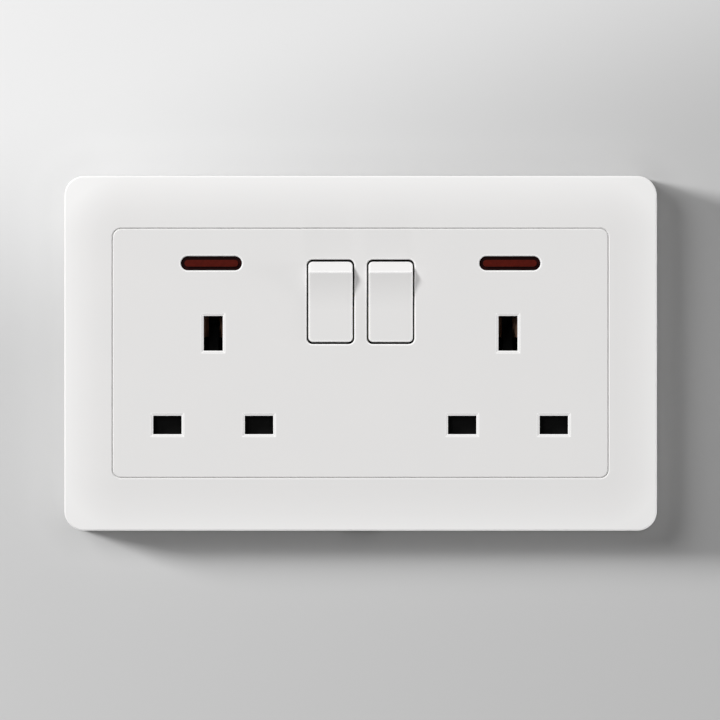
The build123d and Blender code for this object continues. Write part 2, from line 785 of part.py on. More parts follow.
with BuildPart() as fixed_tips:
    with BuildSketch(front_plane(pad_front)):
        with Locations(*[(rocker_offset * s, tip_z) for s in sides.values()]):
            Circle(tip_radius)
    extrude(amount=tip_thickness)
save(fixed_tips.part, "fixed_tips")

# terminals: block with the wire bore, tab up to its strip
for name, places in terminal_places.items():
    with BuildPart() as terminal:
        with BuildSketch(front_plane(floor_back)):
            with Locations(*[(x, terminal_centre(way)) for x, way, tab_z in places]):
                Rectangle(terminal_width, terminal_length)
        extrude(amount=-terminal_depth)
        with BuildSketch(front_plane(floor_back)):
            with Locations(*[(x, tab_z) for x, way, tab_z in places]):
                Rectangle(tab_side, tab_side)
        extrude(amount=floor_thickness)
        for x, way, tab_z in places:
            with BuildSketch(Plane.XY):
                with Locations((x, terminal_depth / 2 - bore_rise - floor_back)):
                    Circle(wire_bore)
            extrude(amount=way * base_height, mode=Mode.SUBTRACT)
            with BuildSketch(front_plane(terminal_back)):
                with Locations((x, terminal_centre(way))):
                    Circle(terminal_screw_radius + screw_gap)
            extrude(amount=terminal_depth / 2, mode=Mode.SUBTRACT)
    save(terminal.part, name)

with BuildPart() as terminal_screws:
    with BuildSketch(front_plane(terminal_back - terminal_screw_out)):
        with Locations(*pockets):
            Circle(terminal_screw_radius)
    extrude(amount=terminal_screw_out + terminal_screw_depth)
    with BuildSketch(front_plane(terminal_back - terminal_screw_out)):
        with Locations(*pockets):
            Rectangle(2 * terminal_screw_radius, drive_slot)
    extrude(amount=drive_depth, mode=Mode.SUBTRACT)
save(terminal_screws.part, "terminal_screws")


def coil(start, way, room, turns):
    """Compression spring of square wire along a helix, each turn in a few straight chords."""
    axis = Plane(origin=start, z_dir=way)
    radius = coil_radius - coil_wire / 2
    lead = coil_seat + coil_wire / 2
    count = turns * coil_chords
    points = []
    for i in range(count + 1):
        turn = 2 * pi * i / coil_chords
        along = lead + (room - 2 * lead) * i / count
        points.append(axis.from_local_coords(Vector(radius * cos(turn), radius * sin(turn), along)))
    with BuildPart() as spring:
        with BuildLine() as path:
            Polyline(*points)
        with BuildSketch(Plane(origin=path.line @ 0, x_dir=way, z_dir=path.line % 0)):
            Rectangle(coil_wire, coil_wire)
        sweep(path=path.line, transition=Transition.RIGHT)
    return spring.part


# rockers, drawn in their resting place with the lower end pressed in
leg_way = Vector(0, cos(half_throw), sin(half_throw))
face_low = pivot_depth + rocker_flush
ridge = face_low + rocker_rise
ridge_z = rocker_half - ridge_to_end
foot_z = rocker_half - rocker_end_slope
deep_z = foot_z - rocker_wall
under = face_low - rocker_wall
for side_name, side in sides.items():
    x = rocker_offset * side
    pivot = Vector(x, -pivot_height, rocker_z)
    body_plane = Plane(origin=pivot, x_dir=(0, -1, 0), z_dir=(-1, 0, 0))
    with BuildPart() as rocker:
        with BuildSketch(body_plane):
            with BuildLine():
                Line((face_low, -rocker_half), (face_low, rise_start_z))
                TangentArc((face_low, rise_start_z), (ridge, ridge_z), tangent=(0, 1))
                Polyline((ridge, ridge_z), (pivot_depth, rocker_half), (-rocker_depth, foot_z),
                         (-rocker_depth, -foot_z), (face_low, -rocker_half))
            make_face()
        extrude(amount=rocker_width / 2, both=True)
        ends = [e for e in rocker.edges() if abs(e.tangent_at(0.5).Y) > 0.95]
        fillet(ends, rocker_corner)
        crest = [e for e in rocker.edges() if e.center().Y < -face_height and abs(e.tangent_at(0.5).X) < 0.9]
        chamfer(crest, rocker_edge)
        # hollow behind the face
        with BuildSketch(body_plane):
            with BuildLine():
                Polyline((-rocker_depth, -deep_z), (under, -deep_z), (under, 0),
                         (ridge - 2 * rocker_wall, ridge_z), (under - rocker_end_slope, deep_z),
                         (-rocker_depth, deep_z), close=True)
            make_face()
        extrude(amount=rocker_width / 2 - rocker_wall, both=True, mode=Mode.SUBTRACT)
        # leg with the plunger's bore
        with BuildSketch(Plane(origin=pivot - leg_way * under, x_dir=(1, 0, 0), z_dir=leg_way)):
            Rectangle(leg_width, leg_width)
        extrude(amount=leg_length + under)
        with BuildSketch(Plane(origin=pivot + leg_way * leg_length, x_dir=(1, 0, 0), z_dir=leg_way)):
            Circle(plunger_radius + plunger_gap)
        extrude(amount=bore_end - leg_length, mode=Mode.SUBTRACT)
        # trunnions
        for way in (-1, 1):
            with BuildSketch(Plane.YZ.offset(x + way * (rocker_width / 2 - trunnion_root))):
                with Locations((-pivot_height, rocker_z)):
                    Circle(trunnion_radius)
            extrude(amount=way * (trunnion_length + trunnion_root))
    save(rocker.part, f"rocker_{side_name}")

    with BuildPart() as plunger:
        with BuildSketch(Plane(origin=pivot, x_dir=leg_way, z_dir=(1, 0, 0))):
            with BuildLine():
                tail = plunger_reach - plunger_length
                Polyline((tail, 0), (tail, plunger_radius), (plunger_reach - plunger_nose, plunger_radius),
                         (plunger_reach, plunger_radius - plunger_nose), (plunger_reach, 0), close=True)
            make_face()
        revolve(axis=Axis(pivot, leg_way))
    save(plunger.part, f"plunger_{side_name}")

    plunger_spring = coil(pivot + leg_way * bore_end, leg_way, tail - bore_end, plunger_turns)
    save(plunger_spring, f"plunger_spring_{side_name}")

    # see-saw arm, tilted so that its upper end closes the contact
    arm_front = Vector(0, -cos(half_swing), sin(half_swing))
    arm_along = Vector(0, sin(half_swing), cos(half_swing))
    fulcrum = Vector(x, -fulcrum_height, rocker_z)
    with BuildPart() as switch_contact:
        with BuildSketch(Plane(origin=fulcrum, x_dir=(1, 0, 0), z_dir=arm_front)):
            Rectangle(arm_width, 2 * arm_half_length)
        extrude(amount=arm_thickness)
        with BuildSketch(Plane.YZ.offset(x)):
            with Locations((-fulcrum_height, rocker_z)):
                Circle(fulcrum_radius + fulcrum_gap)
        extrude(amount=arm_width / 2, both=True, mode=Mode.SUBTRACT)
    save(switch_contact.part, f"switch_contact_{side_name}")

    with BuildPart() as moving_tip:
        with BuildSketch(Plane(origin=fulcrum + arm_along * tip_arm, x_dir=(1, 0, 0), z_dir=-arm_front)):
            Circle(tip_radius)
        extrude(amount=tip_thickness)
    save(moving_tip.part, f"moving_tip_{side_name}")

# shutters and their springs
for side_name, side in sides.items():
    x = outlet_offset * side
    with BuildPart() as shutter:
        with BuildSketch(front_plane(shutter_front)):
            with Locations((x, line_z)):
                Rectangle(2 * bar_half, bar_high - bar_low)
            for way in (-1, 1):
                with Locations((x + way * (stile_inner + stile_outer) / 2, (line_z + ramp_low) / 2)):
                    Rectangle(stile_outer - stile_inner, ramp_low - line_z)
            with Locations((x, ramp_low + ramp_foot / 2)):
                Rectangle(2 * stile_outer, ramp_foot)
        extrude(amount=-shutter_thickness)
        with BuildSketch(Plane.YZ.offset(x)):
            with BuildLine():
                Polyline((-shutter_front, ramp_low), (-shutter_front, ramp_low + ramp_lip),
                         (-ramp_back, ramp_high), (-ramp_back, ramp_high - ramp_tail),
                         (coil_radius - shutter_back, ramp_low), close=True)
            make_face()
        extrude(amount=ramp_half, both=True)
    save(shutter.part, f"shutter_{side_name}")

    spring_low = post_low + post_height
    spring_foot = Vector(x, -shutter_back - coil_seat, spring_low)
    shutter_spring = coil(spring_foot, Vector(0, 0, 1), ramp_low - spring_low, shutter_turns)
    save(shutter_spring, f"shutter_spring_{side_name}")

# indicators
for side_name, side in sides.items():
    x = neon_offset * side
    with BuildPart() as neon_lens:
        with BuildSketch(front_plane(panel_back)):
            with Locations((x, neon_z)):
                Rectangle(neon_slot_width + 2 * lens_flange, neon_slot_height + 2 * lens_flange)
        extrude(amount=-lens_flange_thickness)
        with BuildSketch(front_plane(panel_back)):
            with Locations((x, neon_z)):
                SlotOverall(neon_slot_width - 2 * lens_gap, neon_slot_height - 2 * lens_gap)
        extrude(amount=panel_thickness - lens_recess)
        with BuildSketch(front_plane(panel_back)):
            with Locations((x, neon_z)):
                SlotOverall(neon_slot_width - 2 * lens_rim, neon_slot_height - 2 * lens_rim)
        extrude(amount=panel_thickness - lens_bar_drop)
    save(neon_lens.part, f"neon_lens_{side_name}")

    with BuildPart() as neon_lamp:
        with BuildSketch(Plane.YZ.offset(x)):
            with Locations((-lamp_height, neon_z)):
                Circle(lamp_radius)
        extrude(amount=lamp_length / 2, both=True)
    save(neon_lamp.part, f"neon_lamp_{side_name}")

    with BuildPart() as resistor:
        with BuildSketch(Plane.YZ.offset(x)):
            with Locations((-resistor_height, neon_z - resistor_drop)):
                Circle(resistor_radius)
        extrude(amount=resistor_length / 2, both=True)
    save(resistor.part, f"resistor_{side_name}")

# screws
with BuildPart() as housing_screws:
    with BuildSketch(front_plane(floor_back)):
        with Locations(*boss_places):
            Circle(screw_head_radius)
    extrude(amount=-screw_head_height)
    with BuildSketch(front_plane(floor_back)):
        with Locations(*boss_places):
            Circle(screw_radius)
    extrude(amount=yoke_thickness - pilot_cover - pilot_end - floor_back)
    with BuildSketch(front_plane(floor_back - screw_head_height)):
        with Locations(*boss_places):
            Rectangle(2 * screw_head_radius, drive_slot)
    extrude(amount=drive_depth, mode=Mode.SUBTRACT)
save(housing_screws.part, "housing_screws")

with BuildPart() as fixing_screws:
    with BuildSketch(front_plane(yoke_thickness)):
        with Locations(*fixing_places):
            Circle(fixing_head_radius)
    extrude(amount=fixing_head_height)
    with BuildSketch(front_plane(yoke_thickness)):
        with Locations(*fixing_places):
            Circle(fixing_neck)
    extrude(amount=-yoke_thickness)
    with BuildSketch(front_plane(0)):
        with Locations(*fixing_places):
            Circle(fixing_radius)
    extrude(amount=-fixing_length)
    with BuildSketch(front_plane(head_top)):
        with Locations(*fixing_places):
            Rectangle(2 * fixing_head_radius, drive_slot)
    extrude(amount=-drive_depth, mode=Mode.SUBTRACT)
save(fixing_screws.part, "fixing_screws")
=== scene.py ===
import json
from math import cos, pi, radians, sin, tau

import bmesh
import bpy
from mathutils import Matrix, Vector


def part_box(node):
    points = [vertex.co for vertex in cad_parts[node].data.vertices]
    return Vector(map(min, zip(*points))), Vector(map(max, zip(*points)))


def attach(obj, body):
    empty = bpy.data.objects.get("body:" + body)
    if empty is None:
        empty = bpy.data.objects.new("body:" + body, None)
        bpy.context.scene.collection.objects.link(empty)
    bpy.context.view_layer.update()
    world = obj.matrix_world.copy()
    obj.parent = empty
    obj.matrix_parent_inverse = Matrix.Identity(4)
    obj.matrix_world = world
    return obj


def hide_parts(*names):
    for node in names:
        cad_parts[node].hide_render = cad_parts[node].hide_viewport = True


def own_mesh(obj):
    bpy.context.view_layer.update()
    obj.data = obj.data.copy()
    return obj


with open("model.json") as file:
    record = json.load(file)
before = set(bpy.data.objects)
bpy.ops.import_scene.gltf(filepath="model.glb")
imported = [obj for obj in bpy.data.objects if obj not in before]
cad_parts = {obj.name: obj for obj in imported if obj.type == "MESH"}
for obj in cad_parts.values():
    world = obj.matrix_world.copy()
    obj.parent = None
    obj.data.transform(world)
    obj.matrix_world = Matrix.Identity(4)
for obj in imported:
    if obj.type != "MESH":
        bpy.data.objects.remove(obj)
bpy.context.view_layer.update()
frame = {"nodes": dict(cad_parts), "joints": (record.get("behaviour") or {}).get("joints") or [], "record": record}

nodes = frame["nodes"]
joints = {joint["name"]: joint for joint in frame["joints"]}
sides = ("left", "right")
mm = 0.001
print("socket loaded:", len(nodes), "nodes")

scene = bpy.context.scene
scene.view_settings.view_transform = "Standard"


# finishes: sizes in millimetres, every surface has grain and patchy gloss, cornered ones rounded edges
finishes = {
    "white_plastic": dict(tint=(0.762, 0.752, 0.746), patch=(0.742, 0.736, 0.731), patchSize=14.0,
                          gloss=(0.4, 0.5), shine=0.3, grain=0.12, depth=0.004, round=0.12),
    "black_plastic": dict(tint=(0.018, 0.018, 0.0178), patch=(0.025, 0.0247, 0.0245), patchSize=6.0,
                          gloss=(0.5, 0.65), shine=0.15, grain=0.25, depth=0.012, round=0.15),
    "shutter_plastic": dict(tint=(0.0025, 0.0025, 0.0025), patch=(0.005, 0.005, 0.005), patchSize=3.0,
                            gloss=(0.55, 0.7), shine=0.05, grain=0.2, depth=0.01, round=0.1),
    "red_lens": dict(tint=(0.095, 0.009, 0.005), patch=(0.045, 0.004, 0.0022), patchSize=0.7,
                     gloss=(0.3, 0.45), shine=0.04, grain=0.3, depth=0.004, round=0.1,
                     # painted shade: the lens is darker further back, in its recessed ring
                     deep=(0.016, 0.0022, 0.002), deepFrom=8.5, deepTo=9.3),
    "plunger_plastic": dict(tint=(0.72, 0.69, 0.62), patch=(0.66, 0.63, 0.56), patchSize=2.0,
                            gloss=(0.4, 0.5), grain=0.15, depth=0.004, round=0.08),
    "spring_steel": dict(tint=(0.5, 0.5, 0.51), patch=(0.4, 0.4, 0.41), patchSize=0.8,
                         gloss=(0.22, 0.34), grain=0.1, depth=0.003, round=0, metal=1),
    "copper_alloy": dict(tint=(0.72, 0.45, 0.27), patch=(0.6, 0.36, 0.21), patchSize=2.5,
                         gloss=(0.25, 0.4), grain=0.12, depth=0.003, round=0.08, metal=1),
    "silver": dict(tint=(0.8, 0.8, 0.78), patch=(0.68, 0.67, 0.64), patchSize=0.7,
                   gloss=(0.2, 0.36), grain=0.1, depth=0.003, round=0.1, metal=1),
    "brass": dict(tint=(0.76, 0.56, 0.26), patch=(0.64, 0.44, 0.19), patchSize=4.0,
                  gloss=(0.24, 0.4), grain=0.12, depth=0.003, round=0.08, metal=1),
    "terminal_brass": dict(tint=(0.78, 0.6, 0.3), patch=(0.68, 0.5, 0.22), patchSize=2.0,
                           gloss=(0.2, 0.32), grain=0.2, depth=0.004, round=0.15, metal=1),
    "zinc": dict(tint=(0.66, 0.67, 0.69), patch=(0.56, 0.57, 0.57), patchSize=1.5,
                 gloss=(0.22, 0.36), grain=0.15, depth=0.004, round=0.12, metal=1),
    "resistor_coat": dict(tint=(0.6, 0.46, 0.28), patch=(0.52, 0.4, 0.24), patchSize=1.0,
                          gloss=(0.3, 0.42), grain=0.2, depth=0.006, round=0),
    "lamp_glass": dict(tint=(0.95, 0.94, 0.92), patch=(0.92, 0.9, 0.88), patchSize=2.0,
                       gloss=(0.02, 0.06), grain=0.6, depth=0.002, round=0, clear=1),
}
# what all finishes share
surfaceLook = dict(shine=0.5, refraction=1.5, patchDetail=3, grainDetail=2, grainStrength=0.6,
                   edgeSamples=6, roundSamples=4)

# the rockers and the panel's openings have painted highlights along their edges, the rockers' pins are painted
# dark as shade
# the surround is painted paler towards its rim as a highlight on its outer slope, the earth strip rough and matt
paintedEdgeHighlight = dict(edge=(0.98, 0.975, 0.97), edgeWidth=0.5, edgeLean=(0.998, 0.975))
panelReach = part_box("front_panel")[1]
panelRim = 1.0 * mm  # the panel's outer edge gets no painted highlight
rockerHalf = 5.4 * mm  # the pins start here
ownFinish = {
    "front_panel": dict(paintedEdgeHighlight, within=(panelReach.x - panelRim, panelReach.z - panelRim)),
    # painted highlight: the surround is paler further back, on its outer slope and sides
    "outer_frame": dict(deep=(0.84, 0.834, 0.829), deepFrom=8.75, deepTo=9.45),
    "earth_bar": dict(tint=(0.56, 0.33, 0.22), patch=(0.46, 0.27, 0.18), gloss=(0.55, 0.7), metal=0.3),
}
for side in sides:
    pivot = joints[f"rocker_{side}_tilt"]["pos_m"]
    # painted highlight on the rockers' edges and painted shade on their pins
    ownFinish[f"rocker_{side}"] = dict(paintedEdgeHighlight, edgeWidth=0.8, edgeLean=(0.98, 0.94),
                                       grease=(0.02, 0.02, 0.021), pinsAt=(pivot[0], rockerHalf))


def figure(tree, operation, *values, kind="Math"):
    step = tree.nodes.new(f"ShaderNode{kind}")
    step.operation = operation
    for socket, value in zip(step.inputs, values):
        if isinstance(value, bpy.types.NodeSocket):
            tree.links.new(value, socket)
        else:
            socket.default_value = value
    return step.outputs["Value"]


def spread(tree, value, ends, results=(0, 1), shape="LINEAR"):
    step = tree.nodes.new("ShaderNodeMapRange")
    step.interpolation_type = shape
    for name, number in zip(("From Min", "From Max", "To Min", "To Max"), (*ends, *results)):
        step.inputs[name].default_value = number
    tree.links.new(value, step.inputs["Value"])
    return step.outputs["Result"]


def blendColour(tree, share, first, second):
    mix = tree.nodes.new("ShaderNodeMix")
    mix.data_type = "RGBA"
    tree.links.new(share, mix.inputs["Factor"])
    for name, colour in (("A", first), ("B", second)):
        if isinstance(colour, tuple):
            mix.inputs[name].default_value = (*colour, 1)
        else:
            tree.links.new(colour, mix.inputs[name])
    return mix.outputs["Result"]


def splitAxes(tree, point):
    split = tree.nodes.new("ShaderNodeSeparateXYZ")
    tree.links.new(point, split.inputs["Vector"])
    return split.outputs


def noise(tree, point, size, detail):
    cloud = tree.nodes.new("ShaderNodeTexNoise")
    cloud.inputs["Scale"].default_value = 1 / (size * mm)
    cloud.inputs["Detail"].default_value = detail
    tree.links.new(point, cloud.inputs["Vector"])
    return cloud.outputs["Fac"]


def roundedNormal(tree, radius, samples):
    bevel = tree.nodes.new("ShaderNodeBevel")
    bevel.samples = samples
    bevel.inputs["Radius"].default_value = radius * mm
    return bevel.outputs["Normal"]


def paintedHighlightShare(tree, point, look):
    # painted highlight: edges lie where the rounded normal leaves the flat one
    rounded = roundedNormal(tree, look["edgeWidth"], surfaceLook["edgeSamples"])
    flat = tree.nodes.new("ShaderNodeNewGeometry").outputs["Normal"]
    lean = figure(tree, "DOT_PRODUCT", rounded, flat, kind="VectorMath")
    share = spread(tree, lean, look["edgeLean"])
    if "within" in look:
        # only inside a rectangle about the centre
        axes = splitAxes(tree, point)
        for axis, half in zip(("X", "Z"), look["within"]):
            share = figure(tree, "MULTIPLY", share, figure(tree, "COMPARE", axes[axis], 0, half))
    return share


def makeFinish(name, look):
    finish = bpy.data.materials.new(name)
    finish.use_nodes = True
    tree = finish.node_tree
    shader = tree.nodes["Principled BSDF"]
    shader.inputs["Metallic"].default_value = look.get("metal", 0)
    shader.inputs["Transmission Weight"].default_value = look.get("clear", 0)
    shader.inputs["IOR"].default_value = surfaceLook["refraction"]
    shader.inputs["Specular IOR Level"].default_value = look.get("shine", surfaceLook["shine"])
    point = tree.nodes.new("ShaderNodeTexCoord").outputs["Object"]
    # slow patches shift the colour and the gloss a little
    patch = noise(tree, point, look["patchSize"], surfaceLook["patchDetail"])
    colour = blendColour(tree, patch, look["tint"], look["patch"])
    if "edge" in look:
        # painted highlight along the edges
        colour = blendColour(tree, paintedHighlightShare(tree, point, look), colour, look["edge"])
    if "grease" in look:
        # painted shade on the pins, beyond the rocker's sides, where they sit in the narrow gap
        across = splitAxes(tree, point)["X"]
        beyond = figure(tree, "SUBTRACT", 1, figure(tree, "COMPARE", across, *look["pinsAt"]))
        colour = blendColour(tree, beyond, colour, look["grease"])
    if "deep" in look:
        # painted light by depth: another tint further back from the front, as shade in the lens's recessed ring
        # and as a highlight on the surround's outer slope
        ends = (-look["deepTo"] * mm, -look["deepFrom"] * mm)
        depthLightShare = spread(tree, splitAxes(tree, point)["Y"], ends)
        colour = blendColour(tree, depthLightShare, colour, look["deep"])
    tree.links.new(colour, shader.inputs["Base Color"])
    tree.links.new(spread(tree, patch, (0, 1), look["gloss"]), shader.inputs["Roughness"])
    # fine moulded or drawn grain
    bump = tree.nodes.new("ShaderNodeBump")
    bump.inputs["Strength"].default_value = surfaceLook["grainStrength"]
    bump.inputs["Distance"].default_value = look["depth"] * mm
    grain = noise(tree, point, look["grain"], surfaceLook["grainDetail"])
    tree.links.new(grain, bump.inputs["Height"])
    if look["round"]:
        rounded = roundedNormal(tree, look["round"], surfaceLook["roundSamples"])
        tree.links.new(rounded, bump.inputs["Normal"])
    tree.links.new(bump.outputs["Normal"], shader.inputs["Normal"])
    return finish


paint = {name: makeFinish(name, look) for name, look in finishes.items()}
for row in frame["record"]["subparts"]:
    node = nodes[row["node"]]
    if not node.material_slots:
        node.data.materials.append(None)
    finish = paint[row["material_slot"]]
    if row["node"] in ownFinish:
        finish = makeFinish(row["node"], dict(finishes[row["material_slot"]], **ownFinish[row["node"]]))
    for holder in node.material_slots:
        holder.material = finish
print("finishes laid on:", len(paint))


def newPiece(name, shape, slot, body):
    mesh = bpy.data.meshes.new(name)
    bmesh.ops.recalc_face_normals(shape, faces=shape.faces)
    shape.to_mesh(mesh)
    shape.free()
    mesh.materials.append(paint[slot])
    mesh.shade_smooth()
    piece = bpy.data.objects.new(name, mesh)
    scene.collection.objects.link(piece)
    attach(piece, body)
    return piece


def skin(shape, rings, closed=False):
    for near, far in zip(rings, rings[1:]):
        for i in range(len(near)):
            j = (i + 1) % len(near)
            shape.faces.new((near[i], near[j], far[j], far[i]))
    if closed:
        shape.faces.new(rings[0])
        shape.faces.new(rings[-1])


def bakedMesh(piece):
    bpy.context.view_layer.update()
    return bpy.data.meshes.new_from_object(piece.evaluated_get(bpy.context.evaluated_depsgraph_get()))


# springs of round wire with closed ends, in place of the chorded ones
coilLook = dict(radius=1.25 * mm, wire=0.5 * mm, steps=28, facets=10, close=0.12,
                shutterTurns=6, plungerTurns=4, plungerFoot=0.5 * mm, plungerRoom=4.1 * mm)


def roundCoil(start, way, room, turns):
    shape = bmesh.new()
    out = way.orthogonal().normalized()
    up = way.cross(out)
    half = coilLook["wire"] / 2
    facets = coilLook["facets"]
    count = turns * coilLook["steps"]
    rings = []
    for i in range(count + 1):
        share = i / count
        along = half + (room - 2 * half) * (share - coilLook["close"] * sin(tau * share))
        spoke = out * cos(tau * turns * share) + up * sin(tau * turns * share)
        centre = start + way * along + spoke * (coilLook["radius"] - half)
        rings.append([shape.verts.new(centre + (spoke * cos(a) + way * sin(a)) * half)
                      for a in (tau * k / facets for k in range(facets))])
    skin(shape, rings, closed=True)
    return shape


for side in sides:
    low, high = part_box(f"shutter_spring_{side}")
    foot = Vector(((low.x + high.x) / 2, (low.y + high.y) / 2, low.z))
    room = high.z - low.z
    shape = roundCoil(foot, Vector((0, 0, 1)), room, coilLook["shutterTurns"])
    coil = newPiece(f"shutterCoil_{side}", shape, "spring_steel", "housing")
    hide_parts(f"shutter_spring_{side}")
    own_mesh(coil)

    slide = joints[f"plunger_{side}_slide"]
    way = -Vector(slide["axis"]).normalized()
    foot = Vector(joints[f"rocker_{side}_tilt"]["pos_m"]) + way * coilLook["plungerFoot"]
    room = coilLook["plungerRoom"]
    shape = roundCoil(foot, way, room, coilLook["plungerTurns"])
    coil = newPiece(f"plungerCoil_{side}", shape, "spring_steel", f"rocker_{side}")
    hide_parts(f"plunger_spring_{side}")
    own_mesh(coil)
print("springs wound")


# fixing screws: raised slotted head, neck through the yoke, cut thread
# crown and seat: way from the head's top or from the yoke, and share of the head's radius
screwLook = dict(head=3.4 * mm, headHeight=2.0 * mm, neck=1.55 * mm, yoke=2.5 * mm,
                 crown=((0, 0.35), (0.03 * mm, 0.62), (0.2 * mm, 0.84), (0.55 * mm, 0.96), (0.95 * mm, 1)),
                 seat=((0.12 * mm, 1), (0, 0.97)), slot=0.8 * mm, slotDepth=0.7 * mm,
                 crest=1.75 * mm, root=1.42 * mm, pitch=0.6 * mm, flank=2.4, runOut=0.8 * mm,
                 length=22 * mm, point=0.3 * mm, taper=0.35 * mm, facets=40, perTurn=6)


def fixingScrew(x):
    look = screwLook
    facets = look["facets"]
    shape = bmesh.new()

    def ring(along, radii):
        return [shape.verts.new((x + radius * cos(tau * k / facets), along, radius * sin(tau * k / facets)))
                for k, radius in enumerate(radii)]

    top = -look["yoke"] - look["headHeight"]
    outline = [(top + way, share * look["head"]) for way, share in look["crown"]]
    outline += [(-look["yoke"] - way, share * look["head"]) for way, share in look["seat"]]
    outline += [(-look["yoke"], look["neck"]), (0, look["neck"])]
    rings = [ring(along, [radius] * facets) for along, radius in outline]
    turns = int((look["length"] - look["runOut"]) / look["pitch"])
    for i in range(turns * look["perTurn"] + 1):
        phases = [(i / look["perTurn"] - k / facets) % 1 for k in range(facets)]
        rise = look["crest"] - look["root"]
        radii = [look["root"] + rise * min(1, look["flank"] * min(phase, 1 - phase)) for phase in phases]
        rings.append(ring(i * look["pitch"] / look["perTurn"], radii))
    rings.append(ring(look["length"] - look["point"], [look["root"]] * facets))
    rings.append(ring(look["length"], [look["root"] - look["taper"]] * facets))
    skin(shape, rings, closed=True)
    return shape


def slotHead(piece, x):
    # a blade across the head, half of it above the top
    look = screwLook
    cutter = bmesh.new()
    bmesh.ops.create_cube(cutter, size=1)
    mesh = bpy.data.meshes.new("driveSlot")
    cutter.to_mesh(mesh)
    cutter.free()
    blade = bpy.data.objects.new("driveSlot", mesh)
    blade.scale = (3 * look["head"], 2 * look["slotDepth"], look["slot"])
    blade.location = (x, -look["yoke"] - look["headHeight"], 0)
    scene.collection.objects.link(blade)
    cut = piece.modifiers.new("driveSlot", "BOOLEAN")
    cut.object = blade
    cut.operation = "DIFFERENCE"
    done = bakedMesh(piece)
    piece.modifiers.clear()
    piece.data = done
    bpy.data.objects.remove(blade)


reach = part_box("fixing_screws")[1].x
for side, way in (("left", -1), ("right", 1)):
    x = way * (reach - screwLook["head"])
    screw = newPiece(f"fixingScrew_{side}", fixingScrew(x), "zinc", "housing")
    slotHead(screw, x)
    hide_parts("fixing_screws")
print("fixing screws cut")


# indicator lamps: glass bulb with a domed tip and two electrodes
# foot and hollow: way from the bulb's foot and share of the radius, outside and inside
lampLook = dict(wall=0.3 * mm, facets=32, domeStep=12, tip=0.01 * mm, tipShare=0.08,
                foot=((0, 0.55), (0.8 * mm, 0.9), (1.2 * mm, 1)), hollow=((1.3 * mm, 0.3), (1.7 * mm, 1)),
                rod=0.28 * mm, rodGap=0.75 * mm, rodFoot=1.4 * mm, rodEnd=0.45, rodTip=0.5, rodTaper=0.6,
                rodFacets=12)
# series resistor: shares of half the length and of the radius from its end to its waist, and its bands
coatLook = dict(profile=((1, 0.3), (0.97, 0.8), (0.86, 1), (0.68, 1), (0.55, 0.86)),
                bands=((0.2, 0.28, (0.5, 0.02, 0.015)), (0.38, 0.46, (0.35, 0.04, 0.3)),
                       (0.56, 0.64, (0.85, 0.6, 0.03)), (0.78, 0.86, (0.65, 0.48, 0.14))))
# leads: how far they reach into bulb and resistor, out of them and aside
leadLook = dict(wire=0.22 * mm, roundness=3, inBulb=1.5 * mm, inCoat=0.3 * mm, out=1.2 * mm, aside=0.8 * mm,
                farDrop=1.8 * mm)


def turned(shape, centre, outline, facets):
    rings = []
    for along, radius in outline:
        spokes = [Vector((along, radius * cos(tau * k / facets), radius * sin(tau * k / facets)))
                  for k in range(facets)]
        rings.append([shape.verts.new(centre + spoke) for spoke in spokes])
    skin(shape, rings, closed=True)


def dome(end, radius):
    arc = [radians(d) for d in range(0, 90, lampLook["domeStep"])]
    outline = [(end - radius + radius * sin(a), radius * cos(a)) for a in arc]
    return outline + [(end - lampLook["tip"], lampLook["tipShare"] * radius)]


def bulb(centre, half, radius):
    shape = bmesh.new()
    inner = radius - lampLook["wall"]
    for size, end, start in ((radius, half, "foot"), (inner, half - lampLook["wall"], "hollow")):
        outline = [(-half + way, share * size) for way, share in lampLook[start]]
        turned(shape, centre, outline + dome(end, size), lampLook["facets"])
    return shape


def wirePiece(name, points):
    line = bpy.data.curves.new(name, "CURVE")
    line.dimensions = "3D"
    line.bevel_depth = leadLook["wire"]
    line.bevel_resolution = leadLook["roundness"]
    line.use_fill_caps = True
    run = line.splines.new("NURBS")
    run.points.add(len(points) - 1)
    for spot, point in zip(run.points, points):
        spot.co = (*point, 1)
    run.order_u = 3
    run.use_endpoint_u = True
    carrier = bpy.data.objects.new(name, line)
    scene.collection.objects.link(carrier)
    shape = bmesh.new()
    shape.from_mesh(bakedMesh(carrier))
    bpy.data.objects.remove(carrier)
    return newPiece(name, shape, "zinc", "housing")


def dropTo(point):
    # bend towards the wall and stop on the yoke's face
    foot = -screwLook["yoke"]
    return [Vector((point.x, (point.y + foot) / 2, point.z)), Vector((point.x, foot, point.z))]


def bandedFinish():
    coat = finishes["resistor_coat"]
    finish = makeFinish("resistorBands", coat)
    tree = finish.node_tree
    bands = tree.nodes.new("ShaderNodeValToRGB")
    bands.color_ramp.interpolation = "CONSTANT"
    bands.color_ramp.elements[0].color = (*coat["tint"], 1)
    for start, end, tint in coatLook["bands"]:
        bands.color_ramp.elements.new(start).color = (*tint, 1)
        bands.color_ramp.elements.new(end).color = (*coat["tint"], 1)
    along = splitAxes(tree, tree.nodes.new("ShaderNodeTexCoord").outputs["Generated"])["X"]
    tree.links.new(along, bands.inputs["Fac"])
    tree.links.new(bands.outputs["Color"], tree.nodes["Principled BSDF"].inputs["Base Color"])
    return finish


def boxOf(node):
    # middle, half length and radius of a node that lies along X
    low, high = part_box(node)
    return (low + high) / 2, (high.x - low.x) / 2, (high.z - low.z) / 2


